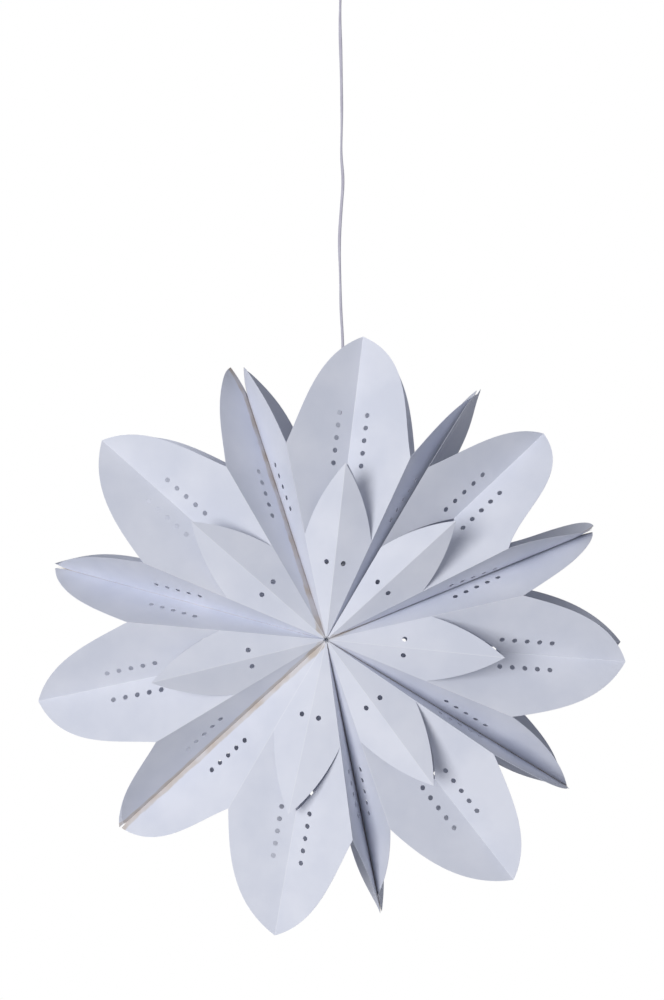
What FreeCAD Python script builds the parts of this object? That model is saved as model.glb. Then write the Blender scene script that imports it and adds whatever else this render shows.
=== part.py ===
import FreeCAD, Part
import math
import os

# Folded paper star pendant. Seven folded paper bags stand side by side round a level hub axis, glued
# along their seams, and hang from a lamp holder on a thin twin cord under a ceiling canopy.
# Frame: origin on the ceiling, straight above the cord. +Z up, the front of the star faces -Y.
# Lengths are millimetres and angles degrees. Azimuths are clockwise from up, seen from the front.

Vec = FreeCAD.Vector
x_axis = Vec(1.0, 0.0, 0.0)
y_axis = Vec(0.0, 1.0, 0.0)
z_axis = Vec(0.0, 0.0, 1.0)

# --- paper star: driving sizes ---------------------------------------------------------------------
hub_drop = 910.0          # ceiling to the star's hub axis
hub_side = -15.0          # hub axis, sideways from the cord, so that the star hangs level
hub_half_depth = 112.5    # front hub point to the star's middle plane
paper = 0.4               # thickness of the card
glue = 0.2                # thickness of the adhesive between two bags

seam_length = 386.0       # hub point to the tip of a seam petal, along the seam
wide_length = 387.0       # hub point to the tip of a wide petal, along its valley crease
notch_length = 251.0      # hub point to the notch between two petals, along the bag's edge
cut_length = 134.0        # hub point to the end of the inner petal's cut, along the bag's edge
inner_length = 224.0      # hub point to the tip of an inner petal, along its ridge
seam_sector = 18.4        # flat angle of a seam petal half
wide_sector = 19.9        # flat angle of half an inner or wide petal
petal_bulge = 20.0        # rise of a petal's outline over its chord
cut_bulge = 6.0           # rise of the inner petal's cut over its chord
hub_start = 5.5           # the creases start this far from the hub point
crease_end = 3.0          # the seam crease stops this far short of the tip
slit_end = 1.0            # half length of the relief at each end of a cut

# The seven seams, and the left and right edge of each bag, as they stand in the opened fan.
seam_azimuths = [31.4, 68.2, 122.5, 169.5, 227.2, 283.8, 341.0]
left_azimuths = [-11.6, 30.5, 77.3, 124.1, 172.4, 238.8, 292.6]
right_azimuths = [24.8, 63.3, 112.5, 161.4, 210.2, 274.9, 329.8]
# Each bag's rear edges, turned from its front ones.
rear_left_turns = [2.0, 4.0, -3.5, 0.0, 0.0, 0.0, 0.0]
rear_right_turns = [2.0, 2.5, -3.5, 0.0, 0.0, 0.0, 0.0]

# Punched holes: radius, then the first hole, the pitch, the count and the distance from the crease.
hole_radius = 3.25
wide_holes = {"first": 222.0, "pitch": 16.3, "count": 5, "aside": 19.4}
seam_holes = {"first": 170.0, "pitch": 15.4, "count": 5, "aside": 26.5}
inner_holes = {"first": 97.5, "pitch": 0.0, "count": 1, "aside": 11.3}

# Window in each seam wall, which together make the lamp chamber.
window_reach = 75.0       # from the hub axis
window_half_depth = 50.0

glue_band_width = 8.0
glue_band_start = 20.0    # from the hub point, along the seam
glue_edge = 0.5           # the adhesive stops this far short of the seam crease

rivet_places = [200.0, 300.0]   # from the hub axis, on the middle plane
rivet_radius = 2.0
rivet_head_radius = 4.5
rivet_head = 1.0
rivet_cap_height = 1.8
rivet_clearance = 0.1

# --- lamp holder, on the cord's axis: heights are over the hub axis --------------------------------
bar_top = 94.0
bar_thickness = 2.0
bar_width = 14.0
bar_overhang = 10.0       # bar past each seam wall that it carries
bar_tab_height = 5.0
bar_tab_thickness = 1.5
slot_clearance = 0.3

nipple_radius = 5.0
nipple_bore = 3.6
nipple_below_bar = 12.0
nipple_above_nut = 7.0
nut_flats = 14.0
nut_height = 3.0
fit_gap = 0.05            # radial gap of fixed parts that slip together
cut_past = 1.0            # holes and slots are cut this far past the faces they go through

grip_radius = 8.0
grip_height = 20.0
grip_chamfer = 1.0
grip_screw_radius = 1.5
grip_screw_over_nipple = 5.0

cap_height = 22.0
cap_shoulder_drop = 10.0  # top of the cap down to its full radius
cap_top_radius = 9.0
holder_radius = 14.0
holder_wall = 1.6
cap_roof = 3.2            # thickness of the cap's top
shell_length = 42.0
insert_height = 9.0
thread_shell_wall = 0.5
thread_shell_length = 21.0
ledge_height = 2.0        # ledge inside the holder's shell, round the thread shell's lower end
contact_width = 4.0
contact_thickness = 0.6
centre_contact_length = 8.0
side_contact_length = 9.0
side_contact_thickness = 1.2
contact_screw_radius = 1.5
contact_screw_side = 8.6
contact_screw_length = 5.0

ring_outer_radius = 19.0
ring_height = 10.0
ring_over_rim = 10.0      # shade ring's lower face, over the holder's lower rim
ring_ribs = 24
ring_rib_radius = 0.8

# --- bulb ------------------------------------------------------------------------------------------
bulb_length = 80.0
bulb_cap_radius = 6.9
bulb_cap_length = 21.0
bulb_tip_length = 3.0
bulb_seat = 4.0           # top of the bulb's collar over the holder's lower rim
bulb_tip_top_radius = 2.4
bulb_tip_base_radius = 5.0
globe_radius = 22.5
globe_wall = 1.0
globe_mouth_over_centre = 15.8
collar_top_radius = 8.0
thread_gap = 0.1          # radial gap between the bulb's cap and the thread shell
run_gap = 0.3             # gap between other pieces that move past each other
part_gap = 0.2            # gap along the axis where a bulb part ends on another body

# --- cord ------------------------------------------------------------------------------------------
cord_diameter = 5.0       # width of the flat twin cord
cord_seat = 9.0           # cord held inside the grip
# Route as x, y, z, from the ceiling clamp down to the last point over the lamp holder's grip.
cord_route = [
    (0.0, 0.0, -30.0),
    (-0.2, 0.3, -56.0),
    (-1.1, 0.5, -84.0),
    (-1.5, 0.1, -114.0),
    (-0.4, -0.5, -148.0),
    (0.6, -0.3, -192.0),
    (1.1, 0.5, -240.0),
    (-0.2, 0.8, -284.0),
    (3.1, -0.2, -316.0),
    (0.5, -0.6, -350.0),
    (-2.7, 0.1, -396.0),
    (-1.1, 0.7, -442.0),
    (-0.4, 0.3, -486.0),
    (2.4, -0.3, -526.0),
    (2.3, 0.2, -572.0),
    (1.0, 0.5, -622.0),
    (0.2, 0.2, -676.0),
    (-0.1, 0.05, -728.0),
    (0.05, -0.05, -766.0),
]

# --- ceiling fitting: heights are under the ceiling ------------------------------------------------
plate_radius = 38.0
plate_thickness = 1.5
screw_spacing = 54.0
screw_hole_radius = 2.5
supply_hole_radius = 6.0
supply_hole_back = -20.0
strap_half_span = 11.0
strap_thickness = 1.5
strap_width = 12.0
strap_depth = 26.0
clamp_neck_radius = 5.0
clamp_head_radius = 8.0
clamp_head_height = 8.0
clamp_neck_length = 10.0
clamp_flare = 4.4
clamp_screw_radius = 1.5
block_size = (26.0, 14.0, 12.0)
block_front = 14.0
block_pole_side = 6.0
block_screw_radius = 1.8
block_screw_length = 7.0
block_screw_back = 9.0    # screws behind the block's front face
core_hole_depth = 4.5
core_seat = 4.0           # core inside the terminal block
core_radius = 1.1
core_side = 1.25
core_bend = 5.0
canopy_wall = 1.6
canopy_gap = 0.1
canopy_rim_height = 16.0
canopy_depth = 62.0
canopy_outlet_radius = 10.5
canopy_floor_radius = 16.0

os.makedirs("parts", exist_ok=True)


def save(name, shape):
    """Write one node's solids to its own file."""
    shape.exportStep(f"parts/{name}.step")
    print(f"{name}: {len(shape.Solids)} solid(s), {shape.Volume:.1f} mm3, valid {shape.isValid()}")


def unit(vector):
    """The same direction with length one."""
    return vector * (1.0 / vector.Length)


# === paper =========================================================================================
hub = Vec(hub_side, 0.0, -hub_drop)
seam_slope = math.asin(hub_half_depth / seam_length)


def ray(azimuth, toward_front):
    """Direction from the front hub point: azimuth in degrees, rise towards the viewer in radians."""
    turn = math.radians(azimuth)
    level = math.cos(toward_front)
    return Vec(level * math.sin(turn), -math.sin(toward_front), level * math.cos(turn))


def edge_ray(azimuth, seam_ray):
    """The bag's edge at this azimuth that makes the seam petal's flat angle with the seam."""
    turn = math.radians(azimuth)
    level = math.sin(turn) * seam_ray.x + math.cos(turn) * seam_ray.z
    reach = math.hypot(level, seam_ray.y)
    lift = math.atan2(-seam_ray.y, level)
    return ray(azimuth, lift + math.acos(math.cos(math.radians(seam_sector)) / reach))


def ridge_and_valley(left, right):
    """The two creases that make the petal's flat angle with both edges: in front and behind."""
    share = math.cos(math.radians(wide_sector)) / (1.0 + left.dot(right))
    middle = (left + right) * share
    across = left.cross(right)
    rise = math.sqrt(1.0 - middle.dot(middle)) / across.Length
    ridge = middle + across * rise
    valley = middle - across * rise
    return (ridge, valley) if ridge.y < valley.y else (valley, ridge)


def mirror(vector):
    """The same direction seen from the rear hub point."""
    return Vec(vector.x, -vector.y, vector.z)


def bulge_point(start, end, away_from, rise):
    """Middle of an arc over the chord from start to end, on the side away from a point."""
    middle = (start + end) * 0.5
    chord = unit(end - start)
    outward = middle - away_from
    outward = outward - chord * outward.dot(chord)
    return middle + unit(outward) * rise


class FoldedSheet:
    """Flat facets that meet at creases, turned into one solid of the card's thickness."""

    def __init__(self):
        self.places = {}
        self.normals = {}
        self.facets = []
        self.edge_uses = {}

    def facet(self, corners, normal, arcs):
        """Add a flat facet: corners as name and place in order, arcs as edge number to middle."""
        names = [name for name, place in corners]
        for name, place in corners:
            self.places[name] = place
            self.normals.setdefault(name, []).append(normal)
        for number, name in enumerate(names):
            edge = frozenset((name, names[(number + 1) % len(names)]))
            self.edge_uses[edge] = self.edge_uses.get(edge, 0) + 1
        self.facets.append((names, normal, arcs))

    def inner_place(self, name):
        """The corner on the card's inner face, on the inner planes of all facets that meet there."""
        normals = self.normals[name]
        if len(normals) == 1:
            return self.places[name] - normals[0] * paper
        spread = 1.0 + normals[0].dot(normals[1])
        return self.places[name] - (normals[0] + normals[1]) * (paper / spread)

    @staticmethod
    def edge(start, end, middle):
        """A straight edge, or an arc through its middle point."""
        if middle is None:
            return Part.LineSegment(start, end).toShape()
        return Part.Arc(start, middle, end).toShape()

    def solid(self):
        """Outer faces, inner faces and the cut edges between them, sewn to one closed solid."""
        faces = []
        for names, normal, arcs in self.facets:
            outer = []
            inner = []
            for number, name in enumerate(names):
                after = names[(number + 1) % len(names)]
                middle = arcs.get(number)
                inner_middle = None if middle is None else middle - normal * paper
                ends = (self.places[name], self.places[after])
                inner_ends = (self.inner_place(name), self.inner_place(after))
                outer.append(self.edge(*ends, middle))
                inner.append(self.edge(*inner_ends, inner_middle))
                if self.edge_uses[frozenset((name, after))] == 1:
                    faces.append(Part.makeRuledSurface(outer[-1], inner[-1]))
            faces.append(Part.Face(Part.Wire(outer)))
            faces.append(Part.Face(Part.Wire(inner)))
        shell = Part.Shell(faces)
        shell.sewShape()
        solid = Part.Solid(shell)
        if solid.Volume < 0.0:
            solid.reverse()
        return solid


def facet_normal(first, second, outward):
    """Unit normal of the facet that holds two rays, on the side of a third direction."""
    normal = unit(first.cross(second))
    return normal if normal.dot(outward) > 0.0 else normal * -1.0


def sideways(seam, opening):
    """Level direction from a bag's middle to the neighbour beyond one of its seams."""
    across = unit(Vec(seam.x, 0.0, seam.z))
    return unit(across - opening * across.dot(opening))


def punch(apex, crease, edge, normal, row):
    """Cutters for one row of holes beside a crease, on the side of an edge ray."""
    aside = unit(edge - crease * edge.dot(crease))
    cutters = []
    for number in range(row["count"]):
        along = row["first"] + number * row["pitch"]
        centre = apex + crease * along + aside * row["aside"]
        start = centre - normal * (paper + cut_past)
        cutters.append(Part.makeCylinder(hole_radius, paper + 2.0 * cut_past, start, normal))
    return cutters


def bag_side(sheet, tag, apex, seams, edges, creases, toward, opening):
    """Add the six facets of one face of a bag, front or rear, and return its hole cutters."""
    ridge, valley = creases
    cutters = []
    ridge_tip = apex + ridge * inner_length
    ridge_start = apex + ridge * hub_start
    valley_tip = apex + valley * wide_length
    valley_start = apex + valley * inner_length
    for side in (0, 1):
        seam = seams[side]
        edge = edges[side]
        mark = f"{tag}{side}"
        seam_tip = apex + seam * seam_length
        notch = apex + edge * notch_length
        slit_in = apex + edge * (cut_length - slit_end)
        slit_out = apex + edge * (cut_length + slit_end)
        seam_normal = facet_normal(seam, edge, sideways(seam, opening))
        inner_normal = facet_normal(edge, ridge, toward)
        wide_normal = facet_normal(edge, valley, toward)
        outline = bulge_point(seam_tip, notch, apex, petal_bulge)
        seam_corners = [
            (mark + "seam start", apex + seam * hub_start),
            (mark + "seam end", apex + seam * (seam_length - crease_end)),
            (mark + "seam tip", seam_tip),
            (mark + "notch", notch),
            (mark + "slit out", slit_out),
            (mark + "slit in", slit_in),
            (mark + "edge start", apex + edge * hub_start),
        ]
        sheet.facet(seam_corners, seam_normal, {2: outline})
        inner_corners = [
            (mark + "edge start", apex + edge * hub_start),
            (mark + "slit in", slit_in),
            (tag + "ridge tip", ridge_tip),
            (tag + "ridge start", ridge_start),
        ]
        cut_arc = bulge_point(slit_in, ridge_tip, apex, cut_bulge)
        sheet.facet(inner_corners, inner_normal, {1: cut_arc})
        wide_corners = [
            (mark + "slit out", slit_out),
            (mark + "notch", notch),
            (tag + "valley tip", valley_tip),
            (tag + "valley start", valley_start),
        ]
        outline = bulge_point(notch, valley_tip, apex, petal_bulge)
        cut_arc = bulge_point(valley_start, slit_out, apex, cut_bulge)
        sheet.facet(wide_corners, wide_normal, {1: outline, 3: cut_arc})
        cutters += punch(apex, seam, edge, seam_normal, seam_holes)
        cutters += punch(apex, ridge, edge, inner_normal, inner_holes)
        cutters += punch(apex, valley, edge, wide_normal, wide_holes)
    return cutters


def seam_wall(sheet, side, front_apex, rear_apex, seam, outward):
    """Add the flat wall of a bag that is glued to its neighbour, with its window."""
    rear_seam = mirror(seam)
    across = unit(Vec(seam.x, 0.0, seam.z))
    inner_reach = Vec(seam.x, 0.0, seam.z).Length * hub_start
    corners = [
        (f"front{side}seam start", front_apex + seam * hub_start),
        (f"front{side}seam end", front_apex + seam * (seam_length - crease_end)),
        (f"rear{side}seam end", rear_apex + rear_seam * (seam_length - crease_end)),
        (f"rear{side}seam start", rear_apex + rear_seam * hub_start),
        (f"window rear {side}", across * inner_reach + Vec(0.0, window_half_depth, 0.0)),
        (f"window front {side}", across * inner_reach - Vec(0.0, window_half_depth, 0.0)),
    ]
    sheet.facet(corners, outward, {4: across * window_reach})


def paper_bag(number):
    """One folded bag about the hub axis, and the direction in which it opens."""
    left_azimuth = seam_azimuths[number - 1]
    right_azimuth = seam_azimuths[number]
    half_span = math.radians((right_azimuth - left_azimuth) % 360.0) / 2.0
    opening = ray(left_azimuth + math.degrees(half_span), 0.0)
    seams = [ray(left_azimuth, -seam_slope), ray(right_azimuth, -seam_slope)]
    front_apex = Vec(0.0, -hub_half_depth, 0.0)
    rear_apex = Vec(0.0, hub_half_depth, 0.0)
    sheet = FoldedSheet()
    cutters = []
    rear_turns = (rear_left_turns[number], rear_right_turns[number])
    for tag, apex, turns in (("front", front_apex, (0.0, 0.0)), ("rear", rear_apex, rear_turns)):
        left = edge_ray(left_azimuths[number] + turns[0], seams[0])
        right = edge_ray(right_azimuths[number] + turns[1], seams[1])
        creases = ridge_and_valley(left, right)
        toward = Vec(0.0, -1.0, 0.0)
        rays = [seams, [left, right], creases]
        if tag == "rear":
            toward = mirror(toward)
            rays = [[mirror(one) for one in group] for group in rays]
        cutters += bag_side(sheet, tag, apex, *rays, toward, opening)
    for side, seam in enumerate(seams):
        outward = facet_normal(seam, y_axis, sideways(seam, opening))
        seam_wall(sheet, side, front_apex, rear_apex, seam, outward)
    bag = sheet.solid().cut(Part.makeCompound(cutters))
    bag.translate(opening * (glue / 2.0 / math.sin(half_span)))
    return bag


def seam_plane_solid(seam_azimuth, places, thickness):
    """A plate on a seam plane: places are distance from the hub axis and depth, in order."""
    across = ray(seam_azimuth, 0.0)
    normal = Vec(-across.z, 0.0, across.x)
    shift = normal * (-thickness / 2.0)
    points = [across * reach + y_axis * depth + shift for reach, depth in places]
    face = Part.Face(Part.makePolygon(points + points[:1]))
    return face.extrude(normal * thickness)


def glue_band(seam_azimuth):
    """V-shaped band of adhesive that follows the front and the rear crease of one seam."""
    level = math.cos(seam_slope)
    rise = math.sin(seam_slope)
    places = []
    for inset in (glue_edge, glue_edge + glue_band_width):
        reach = level * glue_band_start - rise * inset
        depth = -hub_half_depth + rise * glue_band_start + level * inset
        meet = reach - depth * level / rise
        places.append([(reach, depth), (meet, 0.0), (reach, -depth)])
    outline = places[0] + places[1][::-1]
    return seam_plane_solid(seam_azimuth, outline, glue)


def at_hub(shape):
    """Move a shape from hub coordinates to the object's own frame."""
    shape.translate(hub)
    return shape


# The last seam is riveted, not glued. The bar lies level through it and the first seam, the two
# beside the uppermost bag.
closing_azimuth = seam_azimuths[-1]
bar_bottom = bar_top - bar_thickness
bar_middle = bar_top - bar_thickness / 2.0
bar_left = bar_middle * math.tan(math.radians(closing_azimuth)) - bar_overhang
bar_right = bar_middle * math.tan(math.radians(seam_azimuths[0])) + bar_overhang
slot = Part.makeBox(
    bar_right - bar_left + 2.0 * slot_clearance,
    bar_width + 2.0 * slot_clearance,
    bar_thickness + slot_clearance,
    Vec(bar_left - slot_clearance, -bar_width / 2.0 - slot_clearance, bar_bottom - slot_clearance),
)

closing_across = ray(closing_azimuth, 0.0)
closing_normal = Vec(-closing_across.z, 0.0, closing_across.x)
wall_pair = 2.0 * paper + glue
rivet_hole_radius = rivet_radius + rivet_clearance
rivet_holes = []
rivet_pins = []
rivet_caps = []
for reach in rivet_places:
    middle = closing_across * reach
    back = middle - closing_normal * (wall_pair / 2.0)
    front = middle + closing_normal * (wall_pair / 2.0)
    hole_start = back - closing_normal * rivet_head
    hole_length = wall_pair + 2.0 * rivet_head
    rivet_holes.append(Part.makeCylinder(rivet_hole_radius, hole_length, hole_start, closing_normal))
    head = Part.makeCylinder(rivet_head_radius, rivet_head, hole_start, closing_normal)
    shank = Part.makeCylinder(rivet_radius, wall_pair + rivet_head, back, closing_normal)
    rivet_pins.append(head.fuse(shank).removeSplitter())
    cap = Part.makeCylinder(rivet_head_radius, rivet_cap_height, front, closing_normal)
    socket = Part.makeCylinder(rivet_radius + fit_gap, rivet_head + fit_gap, front, closing_normal)
    rivet_caps.append(cap.cut(socket))

paper_cutters = Part.makeCompound([slot] + rivet_holes)
for number in range(len(seam_azimuths)):
    save(f"paper_bag_{number + 1}", at_hub(paper_bag(number).cut(paper_cutters)))

save("glue_bands", at_hub(Part.makeCompound([glue_band(azimuth) for azimuth in seam_azimuths[:-1]])))
save("closing_rivet_pins", at_hub(Part.makeCompound(rivet_pins)))
save("closing_rivet_caps", at_hub(Part.makeCompound(rivet_caps)))

# === lamp holder ===================================================================================


def height(over_hub):
    """Height in the object's frame of a level given over the hub axis."""
    return over_hub - hub_drop


def cylinder(radius, low, high, x=0.0, y=0.0):
    """Upright cylinder between two heights."""
    return Part.makeCylinder(radius, high - low, Vec(x, y, low))


def tube(outer, inner, low, high):
    """Upright tube between two heights."""
    return cylinder(outer, low, high).cut(cylinder(inner, low - cut_past, high + cut_past))


def turned(profile):
    """Solid of revolution about the cord's axis from radius and height pairs."""
    points = [Vec(radius, 0.0, level) for radius, level in profile]
    face = Part.Face(Part.makePolygon(points + points[:1]))
    return face.revolve(Vec(0.0, 0.0, 0.0), z_axis, 360.0)


def hexagon(flats, low, high):
    """Upright hexagonal prism between two heights."""
    corner = flats / 2.0 / math.cos(math.radians(30.0))
    points = []
    for step in range(6):
        turn = math.radians(60.0 * step)
        points.append(Vec(corner * math.cos(turn), corner * math.sin(turn), low))
    return Part.Face(Part.makePolygon(points + points[:1])).extrude(Vec(0.0, 0.0, high - low))


nut_low = height(bar_top)
nut_high = nut_low + nut_height
nipple_low = height(bar_bottom) - nipple_below_bar
nipple_high = nut_high + nipple_above_nut
cap_high = height(bar_bottom)
cap_low = cap_high - cap_height
shell_high = cap_low
shell_low = shell_high - shell_length
holder_inner = holder_radius - holder_wall
thread_inner = bulb_cap_radius + thread_gap
thread_outer = thread_inner + thread_shell_wall
cord_bore = cord_diameter / 2.0 + run_gap

bar = Part.makeBox(
    bar_right - bar_left,
    bar_width,
    bar_thickness,
    Vec(hub_side + bar_left, -bar_width / 2.0, height(bar_bottom)),
)
for tab_start in (bar_left, bar_right - bar_tab_thickness):
    corner = Vec(hub_side + tab_start, -bar_width / 2.0, height(bar_bottom))
    bar = bar.fuse(Part.makeBox(bar_tab_thickness, bar_width, bar_thickness + bar_tab_height, corner))
bar = bar.removeSplitter().cut(cylinder(nipple_radius + fit_gap, nipple_low, nipple_high))
save("carrier_bar", bar)

save("threaded_nipple", tube(nipple_radius, nipple_bore, nipple_low, nipple_high))
nut = hexagon(nut_flats, nut_low, nut_high).cut(cylinder(nipple_radius + fit_gap, nipple_low, nipple_high))
save("nipple_nut", nut)

grip_low = nut_high
grip_high = grip_low + grip_height
screw_level = nipple_high + grip_screw_over_nipple
grip = cylinder(grip_radius, grip_low, grip_high)
rim = [edge for edge in grip.Edges if edge.BoundBox.ZMin > grip_high - grip_chamfer / 2.0]
grip = grip.makeChamfer(grip_chamfer, rim)
grip = grip.cut(cylinder(nipple_radius + fit_gap, grip_low - cut_past, nipple_high))
grip = grip.cut(cylinder(cord_bore, grip_low, grip_high + cut_past))
screw_hole_start = Vec(cord_bore - cut_past, 0.0, screw_level)
grip = grip.cut(Part.makeCylinder(grip_screw_radius + fit_gap, grip_radius, screw_hole_start, x_axis))
save("cord_grip", grip)
screw_start = Vec(cord_bore + fit_gap, 0.0, screw_level)
save("grip_screw", Part.makeCylinder(grip_screw_radius, grip_radius - cord_bore, screw_start, x_axis))

cap_profile = [
    (nipple_radius + fit_gap, cap_high),
    (cap_top_radius, cap_high),
    (holder_radius, cap_high - cap_shoulder_drop),
    (holder_radius, cap_low),
    (holder_inner, cap_low),
    (holder_inner, cap_high - cap_shoulder_drop),
    (cap_top_radius, cap_high - cap_roof),
    (nipple_radius + fit_gap, cap_high - cap_roof),
]
save("holder_cap", turned(cap_profile))

# The tip of the bulb sits against the centre contact, under the contact insert.
tip_high = shell_low + bulb_seat + bulb_cap_length + bulb_tip_length
contact_low = tip_high + part_gap
insert_low = contact_low + contact_thickness
insert_high = insert_low + insert_height
insert = cylinder(holder_inner, insert_low, insert_high)
screws = []
for side in (-1.0, 1.0):
    top = insert_high - contact_screw_length
    hole_high = insert_high + cut_past
    hole = cylinder(contact_screw_radius + fit_gap, top, hole_high, side * contact_screw_side)
    insert = insert.cut(hole)
    screws.append(cylinder(contact_screw_radius, top, insert_high, side * contact_screw_side))
save("contact_insert", insert)
save("contact_screws", Part.makeCompound(screws))

thread_high = insert_low
thread_low = thread_high - thread_shell_length
shell = tube(holder_radius, holder_inner, shell_low, shell_high)
ledge = tube(holder_inner + holder_wall / 2.0, thread_outer, thread_low, thread_low + ledge_height)
save("holder_shell", shell.fuse(ledge).removeSplitter())
save("thread_shell", tube(thread_outer, thread_inner, thread_low, thread_high))
contact_corner = Vec(-contact_width / 2.0, -centre_contact_length / 2.0, contact_low)
centre = Part.makeBox(contact_width, centre_contact_length, contact_thickness, contact_corner)
save("centre_contact", centre)
side_corner = Vec(thread_outer, -contact_width / 2.0, thread_high - side_contact_length)
side = Part.makeBox(side_contact_thickness, contact_width, side_contact_length, side_corner)
side = side.cut(cylinder(thread_outer, thread_low, thread_high + cut_past))
save("side_contact", side)

ring_inner = holder_radius + run_gap
ring_low = shell_low + ring_over_rim
ring = tube(ring_outer_radius, ring_inner, ring_low, ring_low + ring_height)
for step in range(ring_ribs):
    turn = 2.0 * math.pi * step / ring_ribs
    x = ring_outer_radius * math.cos(turn)
    y = ring_outer_radius * math.sin(turn)
    ring = ring.fuse(cylinder(ring_rib_radius, ring_low, ring_low + ring_height, x, y))
save("shade_ring", ring.removeSplitter())

# === bulb ==========================================================================================
cap_top = tip_high - bulb_tip_length
cap_base = cap_top - bulb_cap_length
bulb_low = tip_high - bulb_length
globe_centre = bulb_low + globe_radius
mouth = globe_centre + globe_mouth_over_centre
mouth_radius = math.sqrt(globe_radius ** 2 - globe_mouth_over_centre ** 2)
tip_profile = [
    (0.0, cap_top + part_gap),
    (bulb_tip_base_radius, cap_top + part_gap),
    (bulb_tip_top_radius, tip_high),
    (0.0, tip_high),
]
save("bulb_tip", turned(tip_profile))
save("bulb_cap", cylinder(bulb_cap_radius, cap_base, cap_top))
collar_profile = [
    (0.0, cap_base),
    (collar_top_radius, cap_base),
    (mouth_radius, mouth),
    (0.0, mouth),
]
save("bulb_collar", turned(collar_profile))
ball = Part.makeSphere(globe_radius, Vec(0.0, 0.0, globe_centre))
hollow = Part.makeSphere(globe_radius - globe_wall, Vec(0.0, 0.0, globe_centre))
above = cylinder(globe_radius, mouth, mouth + globe_radius)
save("bulb_globe", ball.cut(hollow).cut(above))

# === cord ==========================================================================================


def cord_tube(route, radius):
    """Straight runs joined by tangent arcs, each as large as the shorter run beside it allows."""
    points = [Vec(*place) for place in route]
    edges = []
    radii = []
    start = points[0]
    for before, corner, after in zip(points, points[1:], points[2:]):
        into = unit(corner - before)
        out = unit(after - corner)
        turn = math.acos(max(-1.0, min(1.0, into.dot(out))))
        shorter = min((corner - before).Length, (after - corner).Length)
        arc_radius = 0.45 * shorter / math.tan(turn / 2.0)
        trim = 0.45 * shorter
        first = corner - into * trim
        last = corner + out * trim
        bisector = unit(out - into)
        middle = corner + bisector * (arc_radius / math.cos(turn / 2.0) - arc_radius)
        edges.append(Part.LineSegment(start, first).toShape())
        edges.append(Part.Arc(first, middle, last).toShape())
        radii.append(arc_radius)
        start = last
    edges.append(Part.LineSegment(start, points[-1]).toShape())
    path = Part.Wire(edges)
    direction = points[1] - points[0]
    profile = Part.Wire(Part.makeCircle(radius, points[0], direction))
    solid = path.makePipeShell([profile], True, False)
    return solid, path.Length, radii


cord_radius = cord_diameter / 2.0
route = cord_route + [(0.0, 0.0, grip_high - cord_seat)]
cord, cord_length, cord_radii = cord_tube(route, cord_radius)
top_end = Part.makeSphere(cord_radius, Vec(*route[0]))
swept_volume = cord_length * math.pi * cord_radius ** 2
print("cord length", round(cord_length, 1), "volume share", round(cord.Volume / swept_volume, 4))
print("cord bend radii", [round(radius) for radius in cord_radii])
save("cord", cord.fuse(top_end))

# === ceiling fitting ===============================================================================
plate = cylinder(plate_radius, -plate_thickness, 0.0)
hole_low = -plate_thickness - cut_past
for side in (-1.0, 1.0):
    plate = plate.cut(cylinder(screw_hole_radius, hole_low, cut_past, side * screw_spacing / 2.0))
plate = plate.cut(cylinder(supply_hole_radius, hole_low, cut_past, 0.0, supply_hole_back))
save("ceiling_plate", plate)

strap_low = -strap_depth
outside = Part.makeBox(
    2.0 * strap_half_span,
    strap_width,
    strap_depth - plate_thickness,
    Vec(-strap_half_span, -strap_width / 2.0, strap_low),
)
inside = Part.makeBox(
    2.0 * (strap_half_span - strap_thickness),
    strap_width,
    strap_depth - plate_thickness,
    Vec(-strap_half_span + strap_thickness, -strap_width / 2.0, strap_low + strap_thickness),
)
strap = outside.cut(inside)
clamp_seat = strap_low + strap_thickness
strap = strap.cut(cylinder(clamp_neck_radius + fit_gap, strap_low - cut_past, clamp_seat + cut_past))
save("hanger_strap", strap)

clamp_high = clamp_seat + clamp_head_height
clamp_low = strap_low - clamp_neck_length
clamp = cylinder(clamp_head_radius, clamp_seat, clamp_high)
clamp = clamp.fuse(cylinder(clamp_neck_radius, clamp_low, clamp_seat)).removeSplitter()
clamp = clamp.cut(cylinder(cord_bore, clamp_low, clamp_high + cut_past))
pivot_level = cord_route[0][2]
flare = [(0.0, pivot_level), (cord_bore, pivot_level), (clamp_flare, clamp_low), (0.0, clamp_low)]
clamp = clamp.cut(turned(flare))
clamp_screw_level = clamp_seat + clamp_head_height / 2.0
clamp_hole_start = Vec(cord_bore - cut_past, 0.0, clamp_screw_level)
clamp_hole_radius = clamp_screw_radius + fit_gap
clamp = clamp.cut(Part.makeCylinder(clamp_hole_radius, clamp_head_radius, clamp_hole_start, x_axis))
save("cord_clamp", clamp)
clamp_screw_start = Vec(cord_bore + fit_gap, 0.0, clamp_screw_level)
clamp_screw_length = clamp_head_radius - cord_bore
save("clamp_screw", Part.makeCylinder(clamp_screw_radius, clamp_screw_length, clamp_screw_start, x_axis))

block_width, block_length, block_height = block_size
block_low = -plate_thickness - block_height
block_corner = Vec(-block_width / 2.0, block_front, block_low)
block = Part.makeBox(block_width, block_length, block_height, block_corner)
core_level = -plate_thickness - block_height / 2.0
block_screws = []
for side in (-1.0, 1.0):
    x = side * block_pole_side
    y = block_front + block_screw_back
    seat = block_low + block_screw_length
    block = block.cut(cylinder(block_screw_radius + fit_gap, block_low - cut_past, seat, x, y))
    block_screws.append(cylinder(block_screw_radius, block_low, seat, x, y))
    entry = Vec(x, block_front - cut_past, core_level)
    block = block.cut(Part.makeCylinder(core_radius + fit_gap, cut_past + core_hole_depth, entry, y_axis))
save("terminal_block", block)
save("terminal_screws", Part.makeCompound(block_screws))


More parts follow.
